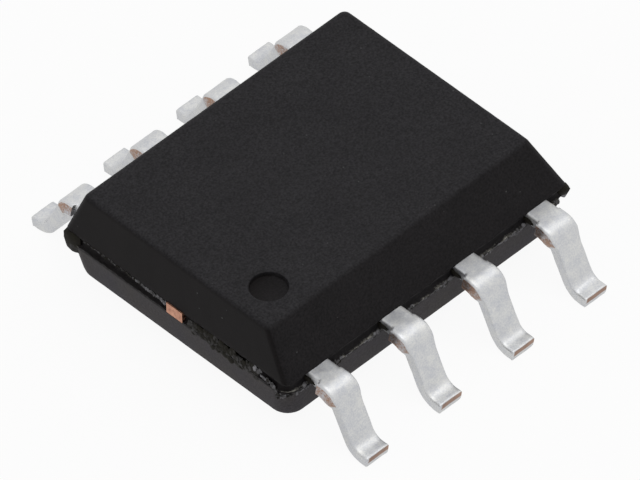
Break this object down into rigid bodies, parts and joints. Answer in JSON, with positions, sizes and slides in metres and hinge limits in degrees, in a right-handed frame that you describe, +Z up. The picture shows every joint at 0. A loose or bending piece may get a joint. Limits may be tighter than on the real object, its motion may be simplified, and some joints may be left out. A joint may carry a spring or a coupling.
{
  "type": "small-outline integrated circuit package",
  "caption": "Moulded surface-mount chip package with gull-wing leads along its two long sides and a dimple that marks the first lead.",
  "frame": {"origin": "on the seating plane, under the middle of the package", "axes": "+X along the body from lead 1 to lead 4, +Y across the body towards leads 5 to 8, +Z up"},
  "size_m": [0.005, 0.006, 0.0017],
  "materials": {
    "resin": "black filled epoxy moulding compound with a fine matte texture from the mould",
    "tinned_copper": "copper alloy with matte tin plating, bare copper where the dambar and the toe were cut",
    "copper": "bare copper alloy, stamped",
    "adhesive": "silver-filled epoxy adhesive, cured",
    "silicon": "sawn silicon, polished on top",
    "gold": "drawn gold wire"
  },
  "bodies": {
    "root": {"mold_body": "resin", "die_pad": "copper", "die_attach": "adhesive", "die": "silicon", "lead_1": "tinned_copper", "lead_2": "tinned_copper", "lead_3": "tinned_copper", "lead_4": "tinned_copper", "lead_5": "tinned_copper", "lead_6": "tinned_copper", "lead_7": "tinned_copper", "lead_8": "tinned_copper", "bond_wire_1": "gold", "bond_wire_2": "gold", "bond_wire_3": "gold", "bond_wire_4": "gold", "bond_wire_5": "gold", "bond_wire_6": "gold", "bond_wire_7": "gold", "bond_wire_8": "gold"}
  },
  "joints": []
}
